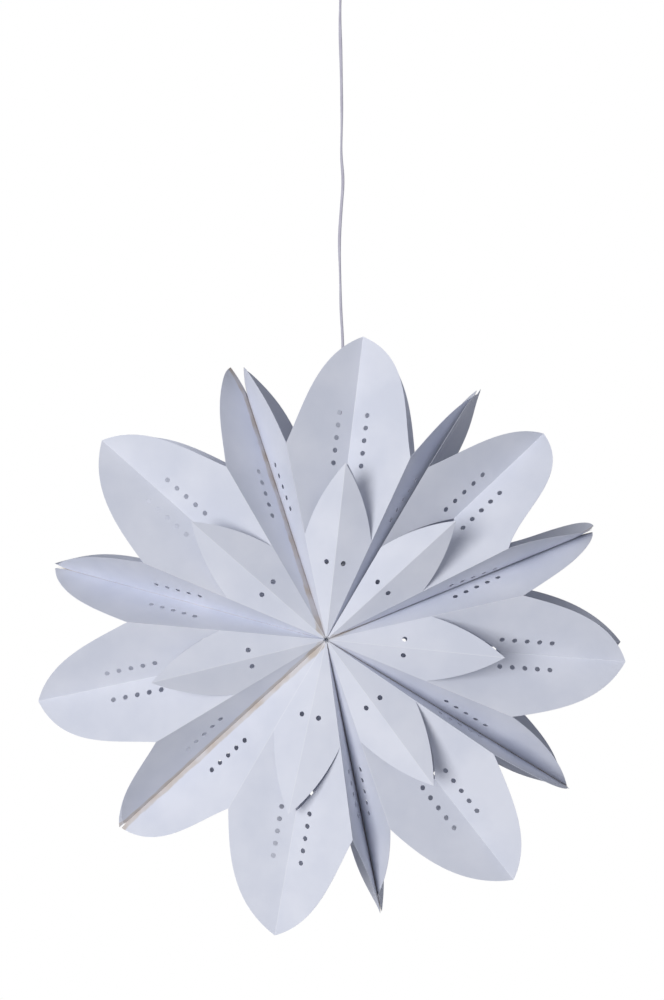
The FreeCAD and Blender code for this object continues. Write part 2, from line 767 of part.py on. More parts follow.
def core_wire(side):
    """One insulated core: up from the clamp, over in an arc and into the terminal block."""
    base = Vec(side * core_side, 0.0, clamp_high)
    entry = Vec(side * block_pole_side, block_front + core_seat, core_level)
    away = unit(Vec(entry.x - base.x, block_front - core_bend, 0.0))
    first = Vec(base.x, base.y, core_level - core_bend)
    last = first + away * core_bend + z_axis * core_bend
    middle = first + away * core_bend + unit(z_axis - away) * core_bend
    turn_in = Vec(entry.x, block_front - core_bend, core_level)
    edges = [
        Part.LineSegment(base, first).toShape(),
        Part.Arc(first, middle, last).toShape(),
        Part.LineSegment(last, turn_in).toShape(),
        Part.LineSegment(turn_in, entry).toShape(),
    ]
    profile = Part.Wire(Part.makeCircle(core_radius, base, z_axis))
    return Part.Wire(edges).makePipeShell([profile], True, False, 2)


save("core_wires", Part.makeCompound([core_wire(-1.0), core_wire(1.0)]))

canopy_inner = plate_radius + canopy_gap
canopy_outer = canopy_inner + canopy_wall
canopy_profile = [
    (canopy_inner, 0.0),
    (canopy_outer, 0.0),
    (canopy_outer, -canopy_rim_height),
    (canopy_floor_radius + canopy_wall, -canopy_depth),
    (canopy_outlet_radius, -canopy_depth),
    (canopy_outlet_radius, -canopy_depth + canopy_wall),
    (canopy_floor_radius, -canopy_depth + canopy_wall),
    (canopy_inner, -canopy_rim_height),
]
save("canopy_cup", turned(canopy_profile))
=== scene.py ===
# %% [markdown]
# # A folded paper star pendant
#
# The lamp is a paper star of seven folded bags on a thin twin cord, with a lamp holder and a bulb inside
# and a plastic canopy on the ceiling. The frame holds every hard piece at its real size and place. This
# notebook gives the star its paper: each bag is cut flat with its punched holes, folded with one formula,
# given the card's thickness, and dressed. Lengths are metres, and the front of the star faces -Y.

# %% Load the frame
import math

import bmesh
import bpy
import numpy as np
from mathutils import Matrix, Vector
from mathutils.geometry import delaunay_2d_cdt


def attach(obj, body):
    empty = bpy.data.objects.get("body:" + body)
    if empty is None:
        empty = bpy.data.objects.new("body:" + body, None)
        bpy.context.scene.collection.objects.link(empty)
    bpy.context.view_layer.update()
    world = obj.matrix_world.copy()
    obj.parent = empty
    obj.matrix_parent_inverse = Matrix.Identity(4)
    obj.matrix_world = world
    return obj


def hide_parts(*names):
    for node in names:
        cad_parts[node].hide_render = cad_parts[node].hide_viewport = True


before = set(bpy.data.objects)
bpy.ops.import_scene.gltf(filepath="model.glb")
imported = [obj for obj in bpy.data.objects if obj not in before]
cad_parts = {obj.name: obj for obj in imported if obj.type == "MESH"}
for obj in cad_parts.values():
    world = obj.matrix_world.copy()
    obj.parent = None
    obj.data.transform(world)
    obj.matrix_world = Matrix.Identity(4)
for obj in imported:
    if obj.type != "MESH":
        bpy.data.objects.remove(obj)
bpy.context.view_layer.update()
mm = 0.001

# %% [markdown]
# ## The view
#
# The photograph was taken from slightly right of the star and a little above its middle. Fitting the
# creases' end points gave a picture 1000 pixels high for a focal length of 2000, which is a 72 mm lens on
# a 36 mm high sensor. The camera is set down first, because everything after it is compared through it.

# %% Camera
camera_place = np.array([80.7, -2611.5, -747.5]) * mm
camera_yaw = math.radians(2.03)      # to the left, seen from above
camera_pitch = math.radians(0.28)    # upwards

camera_data = bpy.data.cameras.new("camera")
camera_data.sensor_fit = "VERTICAL"
camera_data.sensor_height = 36.0
camera_data.lens = 72.0
camera_data.clip_end = 50.0
camera = bpy.data.objects.new("camera", camera_data)
camera.location = camera_place
camera.rotation_euler = (math.pi / 2.0 + camera_pitch, 0.0, camera_yaw)
bpy.context.scene.collection.objects.link(camera)
bpy.context.scene.camera = camera
print("camera at", camera_place)

# %% [markdown]
# ## Shader maths as Python
#
# A material is a graph of nodes, but most of it is arithmetic. One small class wraps a socket, so that
# `1 - mask * 0.3` writes the Math nodes by itself. Any other node comes from `node`, which sets the
# node's own settings first and then its inputs, as numbers, colours or links.

# %% Socket class
class Socket:
    """A node's output, with operators that add Math nodes for numbers."""

    def __init__(self, tree, socket):
        self.tree = tree
        self.socket = socket

    def math(self, operation, *others, clamp=False):
        """A Math node on this value and the others, which are numbers or links."""
        made = self.tree.nodes.new("ShaderNodeMath")
        made.operation = operation
        made.use_clamp = clamp
        for place, value in zip(made.inputs, (self, *others)):
            if isinstance(value, Socket):
                self.tree.links.new(value.socket, place)
            else:
                place.default_value = value
        return Socket(self.tree, made.outputs[0])

    def __add__(self, other):
        return self.math("ADD", other)

    __radd__ = __add__

    def __mul__(self, other):
        return self.math("MULTIPLY", other)

    __rmul__ = __mul__

    def __sub__(self, other):
        return self.math("SUBTRACT", other)

    def __rsub__(self, other):
        return (self * -1.0) + other

    def __abs__(self):
        return self.math("ABSOLUTE")

    def clamped(self):
        """The value, held between 0 and 1."""
        return self.math("ADD", 0.0, clamp=True)

    def fade(self, full, gone):
        """1 where the value is at `full`, falling to 0 at `gone`."""
        return ((self - gone) * (1.0 / (full - gone))).clamped()


class Finish:
    """One material, its Principled shader and short ways to its nodes."""

    def __init__(self, name):
        self.material = bpy.data.materials.new(name)
        self.material.use_nodes = True
        self.tree = self.material.node_tree
        self.shader = self.tree.nodes["Principled BSDF"]

    def node(self, kind, settings=None, out=0, **values):
        """A node of any kind. Inputs are given by name, with _ for a space."""
        made = self.tree.nodes.new(kind)
        for key, value in (settings or {}).items():
            setattr(made, key, value)
        for key, value in values.items():
            self.feed(made.inputs[key.replace("_", " ")], value)
        return Socket(self.tree, made.outputs[out])

    def feed(self, place, value):
        """Wire a link into an input, or set its number or colour."""
        if isinstance(value, Socket):
            self.tree.links.new(value.socket, place)
        else:
            place.default_value = value

    def place(self):
        """Object coordinates, in metres."""
        return self.node("ShaderNodeTexCoord", out="Object")

    def noise(self, scale, detail=3.0, vector=None, roughness=0.5):
        """Soft noise from 0 to 1 with `scale` features a metre."""
        where = vector or self.place()
        return self.node("ShaderNodeTexNoise", Vector=where, Scale=scale, Detail=detail, Roughness=roughness)

    def mix(self, factor, first, second):
        """A colour between two colours."""
        made = self.tree.nodes.new("ShaderNodeMix")
        made.data_type = "RGBA"
        self.feed(made.inputs[0], factor)
        self.feed(made.inputs[6], first)
        self.feed(made.inputs[7], second)
        return Socket(self.tree, made.outputs[2])

    def bump(self, height, depth, strength=1.0):
        """A Bump node whose full height is `depth` metres, wired to Normal."""
        normal = self.node("ShaderNodeBump", Height=height, Distance=depth, Strength=strength)
        self.set(Normal=normal)

    def set(self, **values):
        """Numbers, colours and links on the shader's own inputs."""
        for key, value in values.items():
            self.feed(self.shader.inputs[key.replace("_", " ")], value)
        return self


def colour(red, green, blue):
    """An sRGB colour of 0 to 255 as the linear values that Blender works with."""
    share = np.array([red, green, blue]) / 255.0
    linear = np.where(share <= 0.04045, share / 12.92, ((share + 0.055) / 1.055) ** 2.4)
    return (*linear.tolist(), 1.0)


# %% [markdown]
# ## The paper pattern
#
# A real star of this kind is a stack of flat paper bags. Each side of a bag carries the same cut pattern,
# measured from the hub point: the seam crease, the edge crease 18.4 degrees on, and the middle crease
# another 19.9 degrees on. A curved cut between the last two frees the small inner petal. Holes are real
# holes, so the flat pattern is triangulated with its outline and holes as fixed edges, and only then
# folded. That keeps every hole round and every crease on a row of vertices.

# %% Driving sizes of the paper
hub = np.array([-15.0, 0.0, -910.0]) * mm
hub_half_depth = 112.5 * mm
paper = 0.4 * mm
glue = 0.2 * mm
seam_slope = math.asin(112.5 / 386.0)
seam_length = 384.5 * mm
wide_length = 387.0 * mm
cut_length = 134.0 * mm
inner_length = 224.0 * mm
seam_sector = math.radians(18.4)
wide_sector = math.radians(19.9)
middle_sector = seam_sector + wide_sector
cut_bulge = 6.0 * mm
hub_start = 2.0 * mm
grid = 5.0 * mm          # spacing of the vertices inside a facet

seam_azimuths = np.radians([31.4, 68.2, 122.5, 169.5, 227.2, 283.8, 341.0])
left_azimuths = np.radians([-11.6, 30.5, 77.3, 124.1, 172.4, 238.8, 292.6])
right_azimuths = np.radians([24.8, 63.3, 112.5, 161.4, 210.2, 274.9, 329.8])
rear_turns = np.radians([[2.0, 2.0], [5.6, -0.8], [-0.5, -3.5], [6.0, 4.3], [4.0, 0], [0, 0], [-2.1, 0]])

# Each petal's outline as it was cut and as it bends: face (front, rear), bag, side (left, right).
tip_reach = mm * np.array([     # hub point to the seam petal's tip
    [[383, 380], [384, 386], [383, 382], [384, 360], [384, 390], [383, 387], [385, 389]],
    [[381, 388], [392, 387], [384, 374], [387, 384], [386, 384], [391, 383], [389, 384]],
])
notch_reach = mm * np.array([   # hub point to the notch between two petals
    [[251, 251], [250, 254], [252, 251], [252, 249], [251, 254], [251, 251], [249, 251]],
    [[255, 251], [259, 248], [253, 241], [251, 248], [252, 251], [248, 251], [261, 252]],
])
seam_rise = mm * np.array([     # how far the outline bulges, and how much that leans to the tip
    [[21, 12], [20, 18], [22, 16], [24, 10], [-2, 19], [15, 22], [17, 22]],
    [[21, 20], [21, 28], [20, 14], [20, 20], [22, 20], [22, 20], [24, 20]],
])
seam_lean = np.array([
    [[0.4, 0.4], [0.3, 0.3], [0.6, 0.0], [0.5, 0.0], [0.0, 0.6], [0.6, 0.3], [0.3, 0.5]],
    [[0.2, 0.5], [-0.3, 1.3], [0.3, 0.6], [-0.4, 0.6], [-0.2, 0.3], [0.5, 0.3], [-0.2, 0.3]],
])
wide_rise = mm * np.array([
    [[18, 24], [14, 21], [22, 20], [18, 20], [17, 22], [24, 17], [20, 17]],
    [[20, 18], [20, 20], [19, 20], [20, 21], [20, 20], [20, 20], [20, 20]],
])
wide_lean = np.array([
    [[0.5, 0.6], [0.6, 1.0], [0.3, 0.3], [0.4, 0.2], [0.5, 0.3], [0.5, 0.4], [0.3, 0.5]],
    [[0.3, 0.4], [0.3, 0.3], [0.1, 0.3], [0.3, 0.3], [0.3, 0.3], [0.3, 0.3], [0.3, 0.4]],
])
wide_reach = mm * np.array([[390, 385, 388, 389, 391, 390, 389], [391, 387, 392, 387, 387, 387, 394]])

hole_radius = 3.25 * mm
seam_holes = (170.0 * mm, 15.4 * mm, 5, 26.5 * mm)    # first, pitch, count, distance from the crease
wide_holes = (222.0 * mm, 16.3 * mm, 5, 19.4 * mm)
inner_holes = (97.5 * mm, 0.0, 1, 11.3 * mm)


# %% Flat outlines
def polar(radius, angle):
    """Flat place at a distance from the hub point and an angle from the seam crease."""
    return np.array([radius * math.cos(angle), radius * math.sin(angle)])


def crease_radii(first, last):
    """Distances along a crease, the same for both facets that share it."""
    stations = np.arange(math.ceil(first / grid + 0.3), math.floor(last / grid - 0.3) + 1) * grid
    return np.concatenate([[first], stations, [last]])


def crease_line(first, last, angle):
    """Places along a crease from one distance to the other, the last one left out."""
    radii = crease_radii(min(first, last), max(first, last))
    if first > last:
        radii = radii[::-1]
    return np.outer(radii[:-1], [math.cos(angle), math.sin(angle)])


def bowed_line(start, end, rise, lean=0.0):
    """Places along a parabola over the chord, `rise` high, that leans towards its end."""
    steps = max(8, int(np.linalg.norm(end - start) / (0.8 * grid)))
    share = np.linspace(0.0, 1.0, steps + 1)[:-1, None]
    along = end - start
    across = np.array([-along[1], along[0]]) / np.linalg.norm(along)
    if across @ (start + end) < 0.0:
        across = -across
    height = rise * 4.0 * share * (1.0 - share) * (1.0 + lean * (2.0 * share - 1.0))
    return start + along * share + across * height


def hole_row(row, angle, side):
    """Centres of a row of holes beside a crease."""
    first, pitch, count, aside = row
    along = first + pitch * np.arange(count)[:, None]
    direction = np.array([math.cos(angle), math.sin(angle)])
    across = np.array([-direction[1], direction[0]]) * side
    return along * direction + across * aside


# %% Triangulate a flat pattern
def inside(places, outline):
    """Which places lie inside a closed outline: an odd number of crossings to their right."""
    start, end = outline, np.roll(outline, -1, axis=0)
    above = (start[:, 1] > places[:, 1:]) != (end[:, 1] > places[:, 1:])
    rise = end[:, 1] - start[:, 1]
    rise = np.where(np.abs(rise) < 1e-12, 1e-12, rise)
    cross = start[:, 0] + (places[:, 1:] - start[:, 1]) / rise * (end[:, 0] - start[:, 0])
    return (above & (places[:, :1] < cross)).sum(axis=1) % 2 == 1


def flat_pattern(outline, holes, pitch=grid):
    """Flat vertices and triangles of a sheet with round or many-sided holes."""
    low, high = outline.min(axis=0), outline.max(axis=0)
    columns = np.arange(low[0], high[0], pitch)
    rows = np.arange(low[1], high[1], pitch * 0.87)
    across, up = np.meshgrid(columns, rows)
    across[1::2] += pitch / 2.0
    inner = np.column_stack([across.ravel(), up.ravel()])
    inner = inner[inside(inner, outline)]
    rings = [outline] + holes
    for ring in rings:
        gap = np.linalg.norm(inner[:, None] - ring[None], axis=2).min(axis=1)
        inner = inner[gap > 0.55 * pitch]
    for ring in holes:
        inner = inner[~inside(inner, ring)]
    edges = []
    count = 0
    for ring in rings:
        index = np.arange(len(ring)) + count
        edges += np.column_stack([index, np.roll(index, -1)]).tolist()
        count += len(ring)
    places = np.concatenate(rings + [inner])
    made = delaunay_2d_cdt([Vector(place) for place in places], edges, [], 1, 1e-7)
    vertices = np.array([vertex[:] for vertex in made[0]])
    triangles = np.array(made[2])
    centres = vertices[triangles].mean(axis=1)
    keep = np.ones(len(triangles), bool)
    for ring in holes:
        keep &= ~inside(centres, ring)
    return vertices, triangles[keep]


def round_hole(centre, radius=hole_radius):
    """A ring of places round a punched hole."""
    turn = np.linspace(0.0, 2.0 * math.pi, 20, endpoint=False)
    return centre + radius * np.column_stack([np.cos(turn), np.sin(turn)])


cut_end = polar(cut_length, seam_sector)
inner_tip = polar(inner_length, middle_sector)
inner_pattern = flat_pattern(
    np.concatenate([
        crease_line(hub_start, cut_length, seam_sector),
        bowed_line(cut_end, inner_tip, cut_bulge),
        crease_line(inner_length, hub_start, middle_sector),
    ]),
    [round_hole(at) for at in hole_row(inner_holes, middle_sector, -1)],
)


def seam_petal_pattern(face, bag, side):
    """Flat half of a seam petal, from the hub to its tip."""
    tip, notch = tip_reach[face, bag, side], notch_reach[face, bag, side]
    rise, lean = seam_rise[face, bag, side], seam_lean[face, bag, side]
    outline = np.concatenate([
        crease_line(hub_start, tip, 0.0),
        bowed_line(polar(tip, 0.0), polar(notch, seam_sector), rise, -lean),
        crease_line(notch, cut_length, seam_sector),
        crease_line(cut_length, hub_start, seam_sector),
    ])
    return flat_pattern(outline, [round_hole(at) for at in hole_row(seam_holes, 0.0, 1)])


def wide_petal_pattern(face, bag, side):
    """Flat half of a wide petal, from the cut to its tip."""
    tip, notch = wide_reach[face, bag], notch_reach[face, bag, side]
    rise, lean = wide_rise[face, bag, side], wide_lean[face, bag, side]
    outline = np.concatenate([
        crease_line(cut_length, notch, seam_sector),
        bowed_line(polar(notch, seam_sector), polar(tip, middle_sector), rise, lean),
        crease_line(tip, inner_length, middle_sector),
        bowed_line(inner_tip, cut_end, cut_bulge),
    ])
    return flat_pattern(outline, [round_hole(at) for at in hole_row(wide_holes, middle_sector, -1)])


print("inner petal half:", len(inner_pattern[0]), "vertices", len(inner_pattern[1]), "triangles")

# %% [markdown]
# ## Folding with one formula
#
# Every facet of a folded bag is a piece of a cone with its point at the hub. Two creases bound it, so a
# flat place at distance r and share t of the way from one crease to the other goes to
# apex + r * (direction between the two crease rays), the great-circle mix of both. Real card isn't
# quite flat: beside a glued seam it bends over like a cheek, so a bow is added that is zero on both
# creases. The rays themselves follow from the azimuths and from the flat angles of the pattern.

# %% Crease rays
y_axis = np.array([0.0, 1.0, 0.0])


def unit(vector):
    """The same direction with length one."""
    return vector / np.linalg.norm(vector)


def ray(azimuth, toward_front):
    """Direction from the front hub point: clockwise from up, then raised towards the viewer."""
    level = math.cos(toward_front)
    return np.array([level * math.sin(azimuth), -math.sin(toward_front), level * math.cos(azimuth)])


def edge_ray(azimuth, seam_ray):
    """The edge crease at this azimuth that makes the seam sector's flat angle with the seam."""
    level = math.sin(azimuth) * seam_ray[0] + math.cos(azimuth) * seam_ray[2]
    reach = math.hypot(level, seam_ray[1])
    return ray(azimuth, math.atan2(-seam_ray[1], level) + math.acos(math.cos(seam_sector) / reach))


def ridge_and_valley(left, right):
    """The two rays that make the wide sector's flat angle with both edge rays."""
    middle = (left + right) * math.cos(wide_sector) / (1.0 + left @ right)
    across = np.cross(left, right)
    rise = across * math.sqrt(1.0 - middle @ middle) / np.linalg.norm(across)
    first, second = middle + rise, middle - rise
    return (first, second) if first[1] < second[1] else (second, first)


def folded(vertices, angles, rays, outward, apex, bow, steep):
    """Flat places folded to the cone between two rays, bowed outward by `bow` of their distance.

    `steep` moves the bow's highest line towards the first ray: 1 is midway, 2 a third of the way.
    """
    radius = np.hypot(vertices[:, 0], vertices[:, 1])
    share = (np.arctan2(vertices[:, 1], vertices[:, 0]) - angles[0]) / (angles[1] - angles[0])
    share = np.clip(share, 0.0, 1.0)
    between = math.acos(np.clip(rays[0] @ rays[1], -1.0, 1.0))
    first = np.sin((1.0 - share) * between) / math.sin(between)
    second = np.sin(share * between) / math.sin(between)
    direction = first[:, None] * rays[0] + second[:, None] * rays[1]
    peak = steep ** steep / (1.0 + steep) ** (1.0 + steep)
    lift = bow * share * (1.0 - share) ** steep / peak
    return apex + radius[:, None] * (direction + lift[:, None] * outward)


# %% [markdown]
# ## Small unevenness
#
# What tells paper from sheet metal is that no two petals lie alike. Where the glue stops short of a tip
# the two sheets spring apart, and large petals have a slight wave. Both are functions of a vertex's place
# alone, so facets that share a crease stay joined.

# %% Tip splits, waves and glue
# How strongly the glue shows beside each bag's left and right seam, and how wide.
soak_strength = [[0.5, 0.7], [0.3, 0.9], [0.6, 0.8], [0.7, 0.8], [0.6, 1.0], [0.9, 0.0], [0.0, 1.0]]
soak_width = [[0.5, 0.4], [0.3, 0.9], [0.6, 0.3], [0.3, 0.4], [0.4, 1.0], [1.0, 0.5], [0.5, 1.5]]
facet_bow = 0.004           # bulge of the other facets, as a share of the distance from the hub
seam_bows = [0.004, 0.022, 0.004, 0.006, 0.004, 0.0, 0.012]    # cheeks beside each front seam
tip_splits = np.array([1.0, 3.0, 0.6, 0.8, 0.8, 2.2, 7.5]) * mm   # how far each sheet springs aside
split_starts = np.array([350.0, 330.0, 360.0, 355.0, 360.0, 345.0, 318.0]) * mm
split_width = 25.0 * mm     # how far from the seam plane the sheets still spring
split_limit = 1.2           # growth of a split past the petal's nominal end
wave_height = 0.7 * mm
wave_shift = 1.7            # phase from one bag to the next, in radians
wave_lengths = np.array([0.21, 0.17, 0.26])


def sprung(places, seam, inward):
    """Places moved off the seam plane near a seam petal's tip, into their own bag."""
    across = ray(seam_azimuths[seam], 0.0)
    reach = places @ across
    aside = places @ inward
    end = seam_length * math.cos(seam_slope)
    grow = np.clip((reach - split_starts[seam]) / (end - split_starts[seam]), 0.0, split_limit) ** 2
    near = np.exp(-(aside / split_width) ** 2)
    return places + (tip_splits[seam] * grow * near)[:, None] * inward


def waved(places, bag):
    """Places moved a little along the depth, in a slow wave that grows from the hub."""
    reach = np.hypot(places[:, 0], places[:, 2])
    phase = 2.0 * math.pi * (places @ np.diag(1.0 / wave_lengths)) + bag * wave_shift
    wave = np.sin(phase[:, 0]) + np.sin(phase[:, 2] + 1.0)
    grow = np.clip(reach / wide_length, 0.0, 1.0)
    return places + np.outer(wave_height * wave * grow * np.sign(places[:, 1]), y_axis)


# %% [markdown]
# ## One bag
#
# A bag has a front and a rear face, each with six facets, and two flat side walls that are glued to the
# neighbours. The walls have a window at the hub, which leaves room for the bulb, slots for the carrier bar
# beside the uppermost bag, and rivet holes where the fan was closed. The facets are placed as arrays,
# joined into one mesh, welded along the creases, and get the card's 0.4 mm with a Solidify modifier.

# %% Side walls
window_reach = 75.0 * mm
window_half_depth = 50.0 * mm
slot_levels = (91.7 * mm, 94.0 * mm)      # over the hub axis
slot_half_width = 7.4 * mm
rivet_reaches = (200.0 * mm, 300.0 * mm)
rivet_hole_radius = 2.1 * mm
closing_seam = 6
bar_seams = (6, 0)
wall_grid = 14.0 * mm


def wall_pattern(seam, front_tip, rear_tip):
    """Flat side wall: distance from the hub axis, then depth from the middle plane."""
    level, rise = math.cos(seam_slope), math.sin(seam_slope)
    radii = crease_radii(hub_start, front_tip)
    front = np.column_stack([radii * level, radii * rise - hub_half_depth])
    radii = crease_radii(hub_start, rear_tip)[::-1]
    rear = np.column_stack([radii * level, hub_half_depth - radii * rise])
    inner = front[0, 0]
    window = bowed_line(
        np.array([inner, window_half_depth]),
        np.array([inner, -window_half_depth]),
        window_reach - inner,
    )
    holes = []
    if seam in bar_seams:
        low, high = np.array(slot_levels) / math.cos(seam_azimuths[seam])
        wide = slot_half_width
        holes.append(np.array([[low, -wide], [high, -wide], [high, wide], [low, wide]]))
    if seam == closing_seam:
        holes += [round_hole(np.array([reach, 0.0]), rivet_hole_radius) for reach in rivet_reaches]
    outline = np.concatenate([front, rear, window, [[inner, -window_half_depth]]])
    return flat_pattern(outline, holes, wall_grid)


# %% Place the facets of a bag
def bag_facets(number):
    """Every facet of a bag as (places, flat places, glue, triangles), in hub coordinates."""
    sides = [(number - 1) % len(seam_azimuths), number]
    span = (seam_azimuths[sides[1]] - seam_azimuths[sides[0]]) % (2.0 * math.pi)
    opening = ray(seam_azimuths[sides[0]] + span / 2.0, 0.0)
    seams = [ray(seam_azimuths[seam], -seam_slope) for seam in sides]
    levels = [ray(seam_azimuths[seam], 0.0) for seam in sides]
    asides = [unit(level - opening * (level @ opening)) for level in levels]
    inwards = []
    for level, aside in zip(levels, asides):
        normal = np.cross(level, y_axis)
        inwards.append(normal if normal @ aside < 0.0 else -normal)
    apex = np.array([0.0, -hub_half_depth, 0.0])
    facets = []

    def add(places, flat, triangles, outward, side):
        """Keep one facet, sprung and waved, with its triangles facing `outward`."""
        for seam, inward in zip(sides, inwards):
            places = sprung(places, seam, inward)
        places = waved(places, number) + opening * (glue / 2.0 / math.sin(span / 2.0))
        first, second, third = places[triangles].transpose(1, 0, 2)
        normal = np.cross(second - first, third - first).sum(axis=0)
        if normal @ outward < 0.0:
            triangles = triangles[:, ::-1]
        glued = np.full(flat.shape, [soak_strength[number][side], soak_width[number][side]])
        facets.append((places, flat, glued, triangles))

    for face, flip in enumerate(np.array([[1.0, 1.0, 1.0], [1.0, -1.0, 1.0]])):
        turns = face * rear_turns[number]
        edges = [
            edge_ray(left_azimuths[number] + turns[0], seams[0]),
            edge_ray(right_azimuths[number] + turns[1], seams[1]),
        ]
        ridge, valley = ridge_and_valley(*edges)
        for side in (0, 1):
            parts = (
                (seam_petal_pattern(face, number, side), (0.0, seam_sector), (seams[side], edges[side]),
                 asides[side], seam_bows[sides[side]], 2.0),
                (inner_pattern, (seam_sector, middle_sector), (edges[side], ridge), -y_axis, facet_bow, 1.0),
                (wide_petal_pattern(face, number, side), (seam_sector, middle_sector), (edges[side], valley),
                 -y_axis, facet_bow, 1.0),
            )
            for pattern, angles, rays, toward, bow, steep in parts:
                normal = unit(np.cross(*rays))
                outward = normal if normal @ toward > 0.0 else -normal
                flat, triangles = pattern
                places = folded(flat, angles, rays, outward, apex, bow, steep)
                add(places * flip, flat, triangles, outward * flip, side)
    for side, (seam, level, inward) in enumerate(zip(sides, levels, inwards)):
        flat, triangles = wall_pattern(seam, *tip_reach[:, number, side])
        places = np.outer(flat[:, 0], level) + np.outer(flat[:, 1], y_axis)
        add(places, flat * [1.0, 0.0] - [0.0, 1.0], triangles, -inward, side)
    return facets


# %% Mesh helpers
def mark_creases(mesh, limit):
    """Sharp edges where two faces meet at more than `limit`, and along every cut edge."""
    mesh.update()
    edges = np.empty(len(mesh.loops), np.int32)
    mesh.loops.foreach_get("edge_index", edges)
    totals = np.empty(len(mesh.polygons), np.int32)
    mesh.polygons.foreach_get("loop_total", totals)
    normals = np.empty(3 * len(mesh.polygons))
    mesh.polygons.foreach_get("normal", normals)
    normals = np.repeat(normals.reshape(-1, 3), totals, axis=0)
    order = np.argsort(edges, kind="stable")
    edges, normals = edges[order], normals[order]
    level = (edges[1:] == edges[:-1]) & ((normals[1:] * normals[:-1]).sum(axis=1) > math.cos(limit))
    sharp = np.ones(len(mesh.edges), bool)
    sharp[edges[1:][level]] = False
    mesh.attributes.new("sharp_edge", "BOOLEAN", "EDGE").data.foreach_set("value", sharp)


def new_piece(name, places, faces, finish, body, replaced=()):
    """A mesh object at the origin, with its material, body, slot and the CAD nodes it stands for."""
    mesh = bpy.data.meshes.new(name)
    mesh.from_pydata(places.tolist(), [], faces.tolist())
    mesh.materials.append(finish.material)
    piece = bpy.data.objects.new(name, mesh)
    bpy.context.scene.collection.objects.link(piece)
    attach(piece, body)
    if replaced:
        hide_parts(*replaced)
    return piece


def weld(mesh, gap):
    """Join vertices closer than `gap`."""
    work = bmesh.new()
    work.from_mesh(mesh)
    bmesh.ops.remove_doubles(work, verts=work.verts, dist=gap)
    work.to_mesh(mesh)
    work.free()


# %% [markdown]
# ## Paper
#
# The card is a cool, slightly lavender white with no gloss. At arm's length its fibres are a faint mottle
# of colour and a bump of some hundredths of a millimetre. The pattern's flat coordinates are kept as a UV
# map, so the material knows how far a point is from each crease: the glue has soaked the first few
# millimetres beside a seam yellow-brown, and each fold gets a thin lighter line, partly rubbed wear and
# partly a painted highlight where the crease catches the light.

# %% Paper material
paper_white = colour(226, 229, 240)
paper_shade = colour(216, 220, 233)
glue_brown = colour(190, 172, 150)
# Painted highlight, partly also rubbed wear: the lighter tone of the line along each fold.
fold_wear_and_highlight = colour(236, 238, 246)
fold_wear_and_sheen_width = 0.9 * mm     # light line beside a fold
fibre_height = 0.04 * mm


def paper_finish():
    """Mottled card, plus glue faded by distance from a seam and a painted highlight along each fold."""
    made = Finish("star_paper")
    flat = made.node("ShaderNodeUVMap", {"uv_map": "flat"})
    along = made.node("ShaderNodeSeparateXYZ", Vector=flat)
    aside = Socket(made.tree, along.socket.node.outputs[1])
    strength = made.node("ShaderNodeSeparateXYZ", Vector=made.node("ShaderNodeUVMap", {"uv_map": "glue"}))
    width = Socket(made.tree, strength.socket.node.outputs[1])
    cloud = made.noise(14.0, 3.0)
    fibre = made.noise(900.0, 4.0)
    tone = made.mix(cloud.fade(0.65, 0.35), paper_white, paper_shade)
    glue_edge = (made.noise(60.0, 2.0) * 0.004 + 0.005) * width
    soaked = ((aside - glue_edge) * -500.0).clamped() * (aside * 4000.0 + 1.0).clamped() * strength
    streak = made.noise(35.0, 2.0).fade(0.62, 0.38)
    tone = made.mix(soaked * (streak * 0.35 + 0.35), tone, glue_brown)
    # Painted highlight along the edge and middle creases, where a fold catches the light; partly rubbed
    # wear.
    for angle in (seam_sector, middle_sector):
        gap = abs(along * math.sin(angle) - aside * math.cos(angle))
        tone = made.mix(gap.fade(0.0, fold_wear_and_sheen_width) * 0.6, tone, fold_wear_and_highlight)
    made.set(Base_Color=tone, Roughness=fibre * 0.12 + 0.66, Specular_IOR_Level=0.25)
    made.bump(fibre, fibre_height, 0.6)
    return made


paper_material = paper_finish()

# %% Make the seven bags
crease_limit = math.radians(9.0)
triangle_count = 0
for number in range(len(seam_azimuths)):
    facets = bag_facets(number)
    every_place, every_flat, every_glue, every_triangle = zip(*facets)
    starts = np.cumsum([0] + [len(places) for places in every_place[:-1]])
    places = np.concatenate(every_place) + hub
    faces = np.concatenate([triangles + start for triangles, start in zip(every_triangle, starts)])
    node = f"paper_bag_{number + 1}"
    bag = new_piece(f"star_bag_{number + 1}", places, faces, paper_material, "star", [node])
    for layer_name, values in (("flat", every_flat), ("glue", every_glue)):
        layer = bag.data.uv_layers.new(name=layer_name)
        layer.data.foreach_set("uv", np.concatenate(values)[faces.ravel()].ravel())
    weld(bag.data, 0.02 * mm)
    mark_creases(bag.data, crease_limit)
    bag.data.shade_smooth()
    card = bag.modifiers.new("card", "SOLIDIFY")
    card.thickness = paper
    card.offset = -1.0
    card.use_even_offset = True
    triangle_count += len(bag.data.polygons)
print("star:", triangle_count, "triangles before the card's thickness")

# %% [markdown]
# ## The twin cord
#
# The flex is two cores side by side under one skin, so its section is a figure of eight. It hangs from the
# clamp at the ceiling with the slight kinks that it kept from its packing, and it turns about itself, which
# shows as a groove that comes and goes. The section is swept along the points of the route's own spline.

